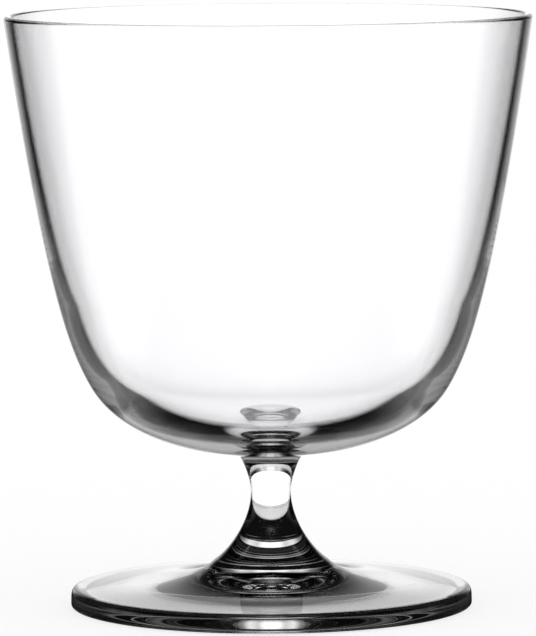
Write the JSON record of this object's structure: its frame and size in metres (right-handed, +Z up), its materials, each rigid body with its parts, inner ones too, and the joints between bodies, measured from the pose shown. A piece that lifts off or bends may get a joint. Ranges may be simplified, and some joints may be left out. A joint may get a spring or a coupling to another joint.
{
  "type": "rocks glass",
  "caption": "Clear footed rocks glass with a wide tapered bowl, a short waisted stem and a round foot, for spirits over ice.",
  "frame": {"origin": "centre of the ring under the foot that the glass rests on", "axes": "+Z up along the axis of the glass, from the foot to the rim; X and Y are level and alike"},
  "size_m": [0.091, 0.091, 0.1025],
  "materials": {
    "clear_glass": "clear colourless glass, fire-polished, very smooth"
  },
  "bodies": {
    "root": {"bowl": "clear_glass", "stem": "clear_glass", "foot": "clear_glass"}
  },
  "joints": []
}
